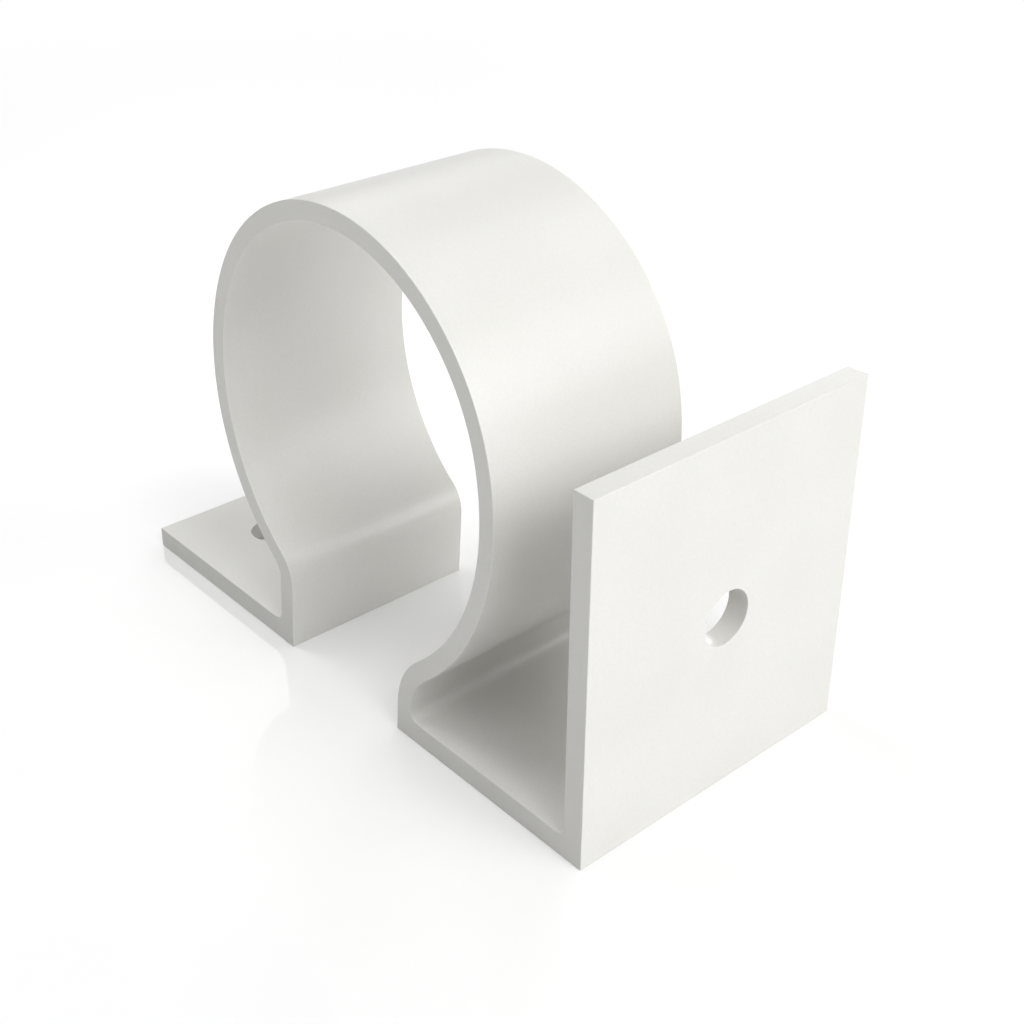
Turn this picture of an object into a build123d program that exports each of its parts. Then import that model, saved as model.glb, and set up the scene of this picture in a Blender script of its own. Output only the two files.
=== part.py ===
from build123d import *
import os
from math import atan2, cos, degrees, pi, radians, sin, sqrt

# Downpipe clip: one rigid plastic moulding. A strip of constant width stands on
# two feet and rises between them as an open ring that grips a 68 mm pipe. The
# right foot ends in a taller and wider plate with one screw hole; the left foot
# has one screw hole too.
#
# Frame, in millimetres: +Z up, both feet stand on z = 0. +X runs along the
# profile towards the tall plate, +Y away from the end face where the strip and
# the plate are flush. The origin is the middle of the outline on the ground.

# ---- ring and flanks (all radii are of the inner, pipe side) -----------------
seat_r = 34.6            # true circle of the pipe seat, for a 68 mm pipe
seat_z = 53.2            # height of the seat's axis over the ground
band_t = 3.35            # thickness of the ring
left_join_deg = 150.4    # where the circle turns into the left flank
left_flank_r = 39.8      # left flank, tangent to the circle
right_join_deg = 11.3    # where the circle turns into the right flank
right_flank_r = 44.3     # right flank, tangent to the circle

# ---- the same arcs on the weather side ---------------------------------------
left_flank_out_r = 43.15
right_join_out_deg = 7.6
right_flank_out_r = 49.15

# ---- risers: straight legs between the flanks and the feet -------------------
left_riser_x = -18.70    # pipe-side face at the ground, from the seat's axis
left_riser_lean = 3.8    # degrees, the top leans towards +X
left_bend_r = 6.9        # bend from riser to flank, on the pipe side
left_bend_out_r = 3.55   # the same bend on the weather side
left_riser_t = 3.70      # thickness of the left riser
right_riser_x = 12.78
right_riser_lean = 3.4
right_bend_r = 16.0
right_bend_out_r = 12.4
right_riser_t = 3.42

# ---- feet and plate ----------------------------------------------------------
foot_end_x = -66.15      # free end of the left foot, from the seat's axis
foot_t = 4.10
plate_face_x = 58.49     # outer face of the plate, from the seat's axis
plate_t = 4.0
plate_h = 65.6
plate_w = 60.0
strip_w = 40.4           # width of the feet, the risers and the ring
foot_corner_r = 2.2      # inner corner between the left foot and its riser
groove_corner_r = 1.8    # inner corner between the channel's floor and the right bend
plate_corner_r = 1.4     # inner corner between the channel's floor and the plate

# ---- screw holes -------------------------------------------------------------
plate_hole_r = 4.9
plate_hole_from_front = 30.18
plate_hole_z = 33.07
foot_hole_r = 4.0
foot_hole_x = -50.7      # from the seat's axis
foot_hole_from_front = 16.7

# ---- broken edges ------------------------------------------------------------
edge_r = 0.15            # round along the outline of both end faces
rim_r = 0.12             # round at the rims of the holes

# ---- placing -----------------------------------------------------------------
dx = -(foot_end_x + plate_face_x) / 2.0     # seat axis -> middle of the outline
front_y = -plate_w / 2.0
back_y = front_y + strip_w
seat = (dx, seat_z)


def polar(c, r, deg):
    """Point at radius r and angle deg round the centre c, in the X-Z plane."""
    return (c[0] + r * cos(radians(deg)), c[1] + r * sin(radians(deg)))


def angle(c, p):
    return degrees(atan2(p[1] - c[1], p[0] - c[0]))


def flank_centre(join_deg, flank_r, ring_r):
    """Centre of a flank arc that leaves the ring's circle of ring_r tangentially."""
    return polar(seat, -(flank_r - ring_r), join_deg)


def bend(side, riser_x, lean, flank_c, flank_r, bend_r):
    """Bend between a riser and its flank, for one of their two faces.

    side is -1 for the left riser and +1 for the right one. The bend's centre
    lies on the side away from the pipe, bend_r from the riser's face, which
    meets the ground at riser_x, and bend_r outside the flank circle. Returns
    the centre, the two tangent directions from it (riser and flank) in degrees
    and the riser's foot point.
    """
    up = (sin(radians(lean)), cos(radians(lean)))       # along the riser
    out = (side * up[1], -side * up[0])                 # away from the pipe
    foot = (riser_x + dx, 0.0)
    a = (foot[0] + bend_r * out[0], foot[1] + bend_r * out[1])
    # point a + s * up at distance flank_r + bend_r from the flank centre
    rx, rz = a[0] - flank_c[0], a[1] - flank_c[1]
    b = rx * up[0] + rz * up[1]
    c = rx * rx + rz * rz - (flank_r + bend_r) ** 2
    s = -b - sqrt(b * b - c)
    centre = (a[0] + s * up[0], a[1] + s * up[1])
    to_riser = degrees(atan2(-out[1], -out[0]))
    to_flank = angle(centre, flank_c)
    return centre, to_riser, to_flank, foot, up, out


def arc(c, r, a0, a1):
    """Arc round c from angle a0 to a1, the way that the numbers run."""
    return ThreePointArc(polar(c, r, a0), polar(c, r, (a0 + a1) / 2.0), polar(c, r, a1))


def near(a, ref):
    """The same direction as a, as the number nearest to ref."""
    while a - ref > 180.0:
        a -= 360.0
    while a - ref < -180.0:
        a += 360.0
    return a


def ground(p, up):
    """The point where the line through p along up meets the ground."""
    return (p[0] - p[1] * up[0] / up[1], 0.0)


# pipe side
lf = flank_centre(left_join_deg, left_flank_r, seat_r)
rf = flank_centre(right_join_deg, right_flank_r, seat_r)
lb, lb_riser, lb_flank, l_foot, l_up, l_out = bend(-1, left_riser_x, left_riser_lean, lf, left_flank_r, left_bend_r)
rb, rb_riser, rb_flank, r_foot, r_up, r_out = bend(+1, right_riser_x, right_riser_lean, rf, right_flank_r, right_bend_r)
lf_end = near(angle(lf, lb), left_join_deg)         # where the left flank meets its bend
rf_end = near(angle(rf, rb), right_join_deg)
lb_flank = near(lb_flank, lb_riser)
rb_flank = near(rb_flank, rb_riser)

# weather side
ring_out_r = seat_r + band_t
l_foot_out = ground((l_foot[0] + left_riser_t * l_out[0], left_riser_t * l_out[1]), l_up)
r_foot_out = ground((r_foot[0] + right_riser_t * r_out[0], right_riser_t * r_out[1]), r_up)
lfo = flank_centre(left_join_deg, left_flank_out_r, ring_out_r)
rfo = flank_centre(right_join_out_deg, right_flank_out_r, ring_out_r)
lbo, lbo_riser, lbo_flank = bend(-1, l_foot_out[0] - dx, left_riser_lean, lfo, left_flank_out_r, left_bend_out_r)[:3]
rbo, rbo_riser, rbo_flank = bend(+1, r_foot_out[0] - dx, right_riser_lean, rfo, right_flank_out_r, right_bend_out_r)[:3]
lfo_end = near(angle(lfo, lbo), left_join_deg)
rfo_end = near(angle(rfo, rbo), right_join_out_deg)
lbo_flank = near(lbo_flank, lbo_riser)
rbo_flank = near(rbo_flank, rbo_riser)


# ---- profile in the X-Z plane, drawn as one closed outline --------------------
foot_x0, plate_x1 = foot_end_x + dx, plate_face_x + dx
plate_x0 = plate_x1 - plate_t
in_left, in_right = l_foot, r_foot
out_left = l_foot_out

# pipe side, from the left foot over the ring to the right foot
lb_r, rb_r = left_bend_r, right_bend_r
pipe_side = [
    Line(in_left, polar(lb, lb_r, lb_riser)),
    arc(lb, lb_r, lb_riser, lb_flank),
    arc(lf, left_flank_r, lf_end, left_join_deg),
    arc(seat, seat_r, left_join_deg, right_join_deg),
    arc(rf, right_flank_r, right_join_deg, rf_end),
    arc(rb, rb_r, rb_flank, rb_riser),
    Line(polar(rb, rb_r, rb_riser), in_right),
]

# channel between the right flank and the plate: round corners on its floor.
# The left one runs into the bend, so it touches the bend's circle from inside.
g, h = groove_corner_r, plate_corner_r
corner_b = (plate_x0 - h, foot_t + h)
corner_a = (rbo[0] - sqrt((right_bend_out_r - g) ** 2 - (foot_t + g - rbo[1]) ** 2), foot_t + g)
corner_a_deg = angle(rbo, corner_a)
# inner corner on the left foot
f = foot_corner_r
k = (foot_t + f - f * l_out[1]) / l_up[1]
corner_f = (out_left[0] + f * l_out[0] + k * l_up[0], foot_t + f)

weather_side = [
    Line(in_right, (plate_x1, 0)),
    Line((plate_x1, 0), (plate_x1, plate_h)),
    Line((plate_x1, plate_h), (plate_x0, plate_h)),
    Line((plate_x0, plate_h), polar(corner_b, h, 0)),
    arc(corner_b, h, 0, -90),
    Line(polar(corner_b, h, -90), polar(corner_a, g, -90)),
    arc(corner_a, g, -90, corner_a_deg - 360.0),
    arc(rbo, right_bend_out_r, corner_a_deg, rbo_flank),
    arc(rfo, right_flank_out_r, rfo_end, right_join_out_deg),
    arc(seat, ring_out_r, right_join_out_deg, left_join_deg),
    arc(lfo, left_flank_out_r, left_join_deg, lfo_end),
    arc(lbo, left_bend_out_r, lbo_flank, lbo_riser),
    Line(polar(lbo, left_bend_out_r, lbo_riser), polar(corner_f, f, lbo_riser)),
    arc(corner_f, f, lbo_riser, -90),
    Line(polar(corner_f, f, -90), (foot_x0, foot_t)),
    Line((foot_x0, foot_t), (foot_x0, 0)),
    Line((foot_x0, 0), in_left),
]
profile = make_face(pipe_side + weather_side)

# ---- solid -------------------------------------------------------------------
end_face = Plane(origin=(0, front_y, 0), x_dir=(1, 0, 0), z_dir=(0, -1, 0))
strip = extrude(end_face * profile, amount=-strip_w)


def spans(shape):
    return [(e, e.bounding_box()) for e in shape.edges()]


# Broken edges of the strip: the outlines of both end faces, the free end of the
# left foot, the top of the plate and its lower outer edge.
ends = [e for e, b in spans(strip) if b.max.Y < front_y + 0.01 or b.min.Y > back_y - 0.01]
along = [e for e, b in spans(strip)
         if e.geom_type == GeomType.LINE and b.size.Y > strip_w - 0.5
         and (b.max.X < foot_x0 + 0.01
              or (b.min.X > plate_x0 - 0.01 and b.min.Z > plate_h - 0.01)
              or (b.max.Z < 0.01 and b.min.X > plate_x1 - 0.01))]
strip = fillet(ends + along, edge_r)

# The plate runs on past the strip to its full width, with the same broken edges.
lap_y = front_y + 10.0
wide = Pos((plate_x0 + plate_x1) / 2.0, (lap_y - front_y) / 2.0, plate_h / 2.0) * Box(
    plate_t, -front_y - lap_y, plate_h)
wide_edges = [e for e, b in spans(wide)
              if b.min.Y > -front_y - 0.01
              or (b.size.Y > 5.0 and (b.min.Z > plate_h - 0.01 or b.min.X > plate_x1 - 0.01))]
wide = fillet(wide_edges, edge_r)
body = (strip + wide).clean()

# ---- screw holes -------------------------------------------------------------
plate_hole = Pos(plate_x1 - plate_t / 2.0, front_y + plate_hole_from_front, plate_hole_z) * Rot(0, 90, 0) * Cylinder(
    plate_hole_r, plate_t * 3)
foot_hole = Pos(foot_hole_x + dx, front_y + foot_hole_from_front, foot_t / 2.0) * Cylinder(foot_hole_r, foot_t * 3)
body = body - plate_hole - foot_hole
rims = [e for e in body.edges() if e.geom_type == GeomType.CIRCLE
        and (abs(e.radius - plate_hole_r) < 1e-3 or abs(e.radius - foot_hole_r) < 1e-3)
        and abs(e.length - 2 * pi * e.radius) < 0.05]
body = fillet(rims, rim_r)

clip = body.solids()[0]
clip.label = "clip"

if __name__ == "__main__":
    os.makedirs("parts", exist_ok=True)
    export_step(clip, "parts/clip.step")
    bb = clip.bounding_box()
    print("solids", len(body.solids()), "valid", clip.is_valid, "volume mm3", round(clip.volume, 1))
    print("box", [round(v, 3) for v in (bb.min.X, bb.min.Y, bb.min.Z, bb.max.X, bb.max.Y, bb.max.Z)])
    print("seat axis x", round(dx, 3), "z", seat_z, "left flank ends", round(lf_end, 2), "right flank ends", round(rf_end, 2))
    print("channel corner meets the right bend at", round(corner_a_deg, 2), "degrees, the bend ends at", round(rb_riser, 2))
    print("left bend centre", [round(v, 2) for v in lb], "right bend centre", [round(v, 2) for v in rb], "rims", len(rims))
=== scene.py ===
import math
import bpy
from mathutils import Matrix, Vector

# White plastic downpipe clip on a pale studio floor. Metres, +Z up, +X towards
# the tall plate, +Y away from the end face that the picture shows.

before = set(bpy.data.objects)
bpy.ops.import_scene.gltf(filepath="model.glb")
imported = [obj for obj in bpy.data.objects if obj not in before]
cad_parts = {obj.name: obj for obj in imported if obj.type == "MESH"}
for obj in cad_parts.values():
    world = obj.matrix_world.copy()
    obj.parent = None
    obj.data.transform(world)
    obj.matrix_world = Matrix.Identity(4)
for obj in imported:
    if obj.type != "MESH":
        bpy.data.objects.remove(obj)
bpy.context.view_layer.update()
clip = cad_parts["clip"]
scene = bpy.context.scene


# ---------------------------------------------------------------- node helpers
def new_tree(owner):
    owner.use_nodes = True
    tree = owner.node_tree
    tree.nodes.clear()
    return tree


def add(tree, kind, **values):
    node = tree.nodes.new(kind)
    for key, value in values.items():
        setattr(node, key, value)
    return node


def math_node(tree, operation, a, b=None, clamp=False):
    node = add(tree, "ShaderNodeMath", operation=operation, use_clamp=clamp)
    for slot, value in ((0, a), (1, b)):
        if value is None:
            continue
        if isinstance(value, (int, float)):
            node.inputs[slot].default_value = value
        else:
            tree.links.new(value, node.inputs[slot])
    return node.outputs[0]


# ------------------------------------------------------------------- materials
def noise(tree, where, per_metre, detail=2.0, roughness=0.5, stretch=(1.0, 1.0, 1.0), shift=(0.0, 0.0, 0.0)):
    """Noise in the clip's own coordinates, per_metre features to the metre."""
    place = add(tree, "ShaderNodeMapping")
    place.inputs["Scale"].default_value = stretch
    place.inputs["Location"].default_value = shift
    tree.links.new(where, place.inputs["Vector"])
    node = add(tree, "ShaderNodeTexNoise", noise_dimensions="3D")
    node.inputs["Scale"].default_value = per_metre
    node.inputs["Detail"].default_value = detail
    node.inputs["Roughness"].default_value = roughness
    tree.links.new(place.outputs[0], node.inputs["Vector"])
    return node.outputs[0]


def spread(tree, value, lo, hi, low=0.3, high=0.7):
    """Map the middle of a noise to lo ... hi."""
    node = add(tree, "ShaderNodeMapRange", interpolation_type="SMOOTHSTEP")
    tree.links.new(value, node.inputs["Value"])
    for key, number in (("From Min", low), ("From Max", high), ("To Min", lo), ("To Max", hi)):
        node.inputs[key].default_value = number
    return node.outputs[0]


def blend_colour(tree, factor, first, second):
    node = add(tree, "ShaderNodeMix", data_type="RGBA")
    tree.links.new(factor, node.inputs[0])
    for slot, value in ((6, first), (7, second)):
        if isinstance(value, tuple):
            node.inputs[slot].default_value = value
        else:
            tree.links.new(value, node.inputs[slot])
    return node.outputs[2]


def bump(tree, height, distance, under=None, strength=1.0):
    node = add(tree, "ShaderNodeBump")
    node.inputs["Strength"].default_value = strength
    node.inputs["Distance"].default_value = distance
    tree.links.new(height, node.inputs["Height"])
    if under is not None:
        tree.links.new(under, node.inputs["Normal"])
    return node.outputs[0]


def plastic(name):
    """Satin white uPVC with a fine moulding grain.

    Colour: the white has a faint warm cast, soft clouds some 20 mm wide where the
    filler isn't quite even, and a fine speckle of 0.4 mm. Surface: orange peel of
    1.5 mm and grain of 0.3 mm. The gloss drifts a little from place to place, and
    in faint lines along the flow, which runs across the strip.
    """
    mat = bpy.data.materials.new(name)
    tree = new_tree(mat)
    link = tree.links.new
    out = add(tree, "ShaderNodeOutputMaterial")
    bsdf = add(tree, "ShaderNodeBsdfPrincipled")
    link(bsdf.outputs[0], out.inputs[0])
    where = add(tree, "ShaderNodeTexCoord").outputs["Object"]

    clouds = spread(tree, noise(tree, where, 50.0, 1.0), 0.0, 1.0)
    tint = blend_colour(tree, clouds, CLOUD_LOW, CLOUD_HIGH)
    speck = spread(tree, noise(tree, where, 2400.0, 0.0, shift=(3.1, 1.7, 0.4)), 0.0, SPECKLE, 0.35, 0.65)
    link(blend_colour(tree, speck, tint, SPECK_TO), bsdf.inputs["Base Color"])

    drift = noise(tree, where, 130.0, 1.0, shift=(7.3, 2.9, 5.1))
    lines = noise(tree, where, 900.0, 1.0, stretch=(1.0, 0.03, 1.0), shift=(1.9, 0.6, 8.2))
    gloss = math_node(tree, "ADD", spread(tree, drift, ROUGH - 0.02, ROUGH + 0.02),
                      spread(tree, lines, -0.006, 0.006))
    link(gloss, bsdf.inputs["Roughness"])
    bsdf.inputs["IOR"].default_value = 1.5

    # heights in metres, added up and used once
    peel = math_node(tree, "MULTIPLY", noise(tree, where, 650.0, 0.0, shift=(0.2, 4.4, 6.5)), PEEL)
    grain = math_node(tree, "MULTIPLY", noise(tree, where, 3300.0, 0.0, shift=(9.1, 3.3, 2.2)), GRAIN)
    height = math_node(tree, "ADD", peel, grain)
    normal = bump(tree, height, 1.0)
    link(normal, bsdf.inputs["Normal"])
    return mat


ROUGH = 0.31
PEEL, GRAIN = 0.0000050, 0.0000120
SPECKLE = 0.14
CLOUD_LOW = (0.694, 0.6895, 0.659, 1)
CLOUD_HIGH = (0.712, 0.7075, 0.682, 1)
SPECK_TO = (0.612, 0.6075, 0.580, 1)

white = plastic("white_upvc")
for slot in clip.material_slots:
    slot.material = white


# ----------------------------------------------------------------------- floor
def make_floor():
    """White gloss sheet under the clip that turns into a plain white sweep."""
    half = 4.0
    mesh = bpy.data.meshes.new("floor")
    z = -0.00004
    mesh.from_pydata([(-half, -half, z), (half, -half, z), (half, half, z), (-half, half, z)], [], [(0, 1, 2, 3)])
    floor = bpy.data.objects.new("floor", mesh)
    scene.collection.objects.link(floor)
    mat = bpy.data.materials.new("floor_white")
    tree = new_tree(mat)
    link = tree.links.new
    out = add(tree, "ShaderNodeOutputMaterial")
    near = add(tree, "ShaderNodeBsdfPrincipled")
    near.inputs["Base Color"].default_value = (0.9, 0.9, 0.9, 1)
    near.inputs["Roughness"].default_value = 0.04
    near.inputs["IOR"].default_value = 1.5
    near.inputs["Emission Color"].default_value = (1, 1, 1, 1)
    near.inputs["Emission Strength"].default_value = FLOOR_GLOW
    far = add(tree, "ShaderNodeEmission")
    far.inputs["Strength"].default_value = 1.0
    place = add(tree, "ShaderNodeNewGeometry").outputs["Position"]
    away = add(tree, "ShaderNodeVectorMath", operation="LENGTH")
    link(place, away.inputs[0])
    mix = add(tree, "ShaderNodeMixShader")
    link(spread(tree, away.outputs["Value"], 0.0, 1.0, 0.16, 0.55), mix.inputs[0])
    link(near.outputs[0], mix.inputs[1])
    link(far.outputs[0], mix.inputs[2])
    link(mix.outputs[0], out.inputs[0])
    mesh.materials.append(mat)
    return floor


FLOOR_GLOW = 0.037
floor = make_floor()


# ----------------------------------------------------------------------- light
# Soft studio light: broad lobes round the clip, each given by azimuth (0 looks
# along +Y from the front, 90 is the +X side), elevation, sharpness, strength.
LOBES = [
    (210, 3, 60.0, 11.07), (225, 3, 4.0, 0.58), (120, 15, 60.0, 5.73), (105, 30, 60.0, 7.37),
    (135, 30, 60.0, 3.27), (240, 30, 60.0, 2.11), (180, 38, 16.0, 1.64), (75, 45, 60.0, 6.80),
    (90, 45, 60.0, 7.00), (285, 45, 60.0, 3.75), (0, 60, 32.0, 1.31), (30, 60, 60.0, 2.59),
    (300, 60, 60.0, 4.18), (300, 78, 60.0, 1.64),
]


def make_world():
    world = bpy.data.worlds.new("studio")
    scene.world = world
    tree = new_tree(world)
    link = tree.links.new
    out = add(tree, "ShaderNodeOutputWorld")
    where = add(tree, "ShaderNodeTexCoord").outputs["Generated"]
    total = None
    for az, el, sharp, strength in LOBES:
        a, e = math.radians(az), math.radians(el)
        d = (math.sin(a) * math.cos(e), -math.cos(a) * math.cos(e), math.sin(e))
        dot = add(tree, "ShaderNodeVectorMath", operation="DOT_PRODUCT")
        link(where, dot.inputs[0])
        dot.inputs[1].default_value = d
        lobe = math_node(tree, "MAXIMUM", dot.outputs["Value"], 0.0)
        lobe = math_node(tree, "POWER", lobe, sharp)
        lobe = math_node(tree, "MULTIPLY", lobe, strength)
        total = lobe if total is None else math_node(tree, "ADD", total, lobe)
    light = add(tree, "ShaderNodeBackground")
    light.inputs["Color"].default_value = (1, 1, 1, 1)
    link(total, light.inputs["Strength"])
    seen = add(tree, "ShaderNodeBackground")
    seen.inputs["Color"].default_value = (1, 1, 1, 1)
    mix = add(tree, "ShaderNodeMixShader")
    link(add(tree, "ShaderNodeLightPath").outputs["Is Camera Ray"], mix.inputs[0])
    link(light.outputs[0], mix.inputs[1])
    link(seen.outputs[0], mix.inputs[2])
    link(mix.outputs[0], out.inputs[0])


make_world()
scene.view_settings.view_transform = "Standard"
scene.view_settings.look = "None"


# ---------------------------------------------------------------------- camera
def make_camera():
    az, el = math.radians(49.118), math.radians(27.323)
    back = Vector((math.sin(az) * math.cos(el), -math.cos(az) * math.cos(el), math.sin(el)))
    data = bpy.data.cameras.new("camera")
    cam = bpy.data.objects.new("camera", data)
    scene.collection.objects.link(cam)
    data.sensor_width = 36.0
    data.lens = 54.482
    data.shift_x = 0.02226
    data.shift_y = -0.08858
    data.clip_start, data.clip_end = 0.01, 50.0
    cam.location = (0.188707, -0.157901, 0.170147)
    cam.rotation_mode = "QUATERNION"
    cam.rotation_quaternion = (-back).to_track_quat("-Z", "Y")
    scene.camera = cam


make_camera()
